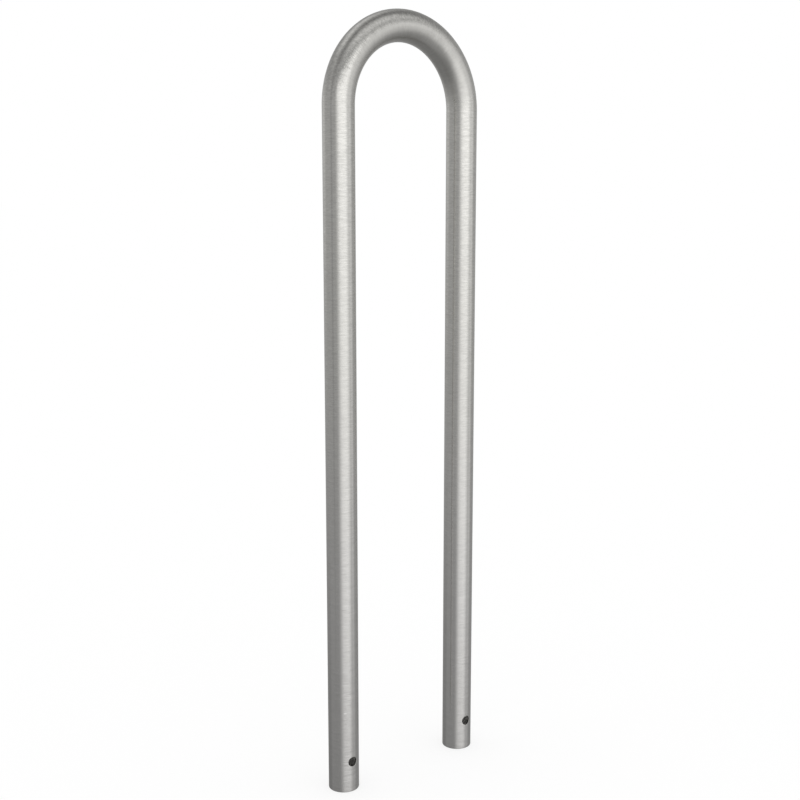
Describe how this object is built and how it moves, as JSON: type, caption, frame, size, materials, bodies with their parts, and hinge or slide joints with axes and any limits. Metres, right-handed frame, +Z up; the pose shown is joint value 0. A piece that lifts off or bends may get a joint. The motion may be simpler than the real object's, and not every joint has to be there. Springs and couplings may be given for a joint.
{
  "type": "hoop bike rack",
  "caption": "Tall narrow in-ground bike rack: a round steel tube bent into a hoop, with cross holes near its feet for anchor rods.",
  "frame": {"origin": "midway between the legs, at the level of their feet", "axes": "+Z up the legs, +X across the hoop from left_leg to right_leg, +Y through the hoop along the rod holes"},
  "size_m": [0.3048, 0.0508, 1.27],
  "materials": {
    "brushed_stainless": "satin stainless steel, brushed around the tube"
  },
  "bodies": {
    "root": {"left_leg": "brushed_stainless", "top_bend": "brushed_stainless", "right_leg": "brushed_stainless"}
  },
  "joints": []
}
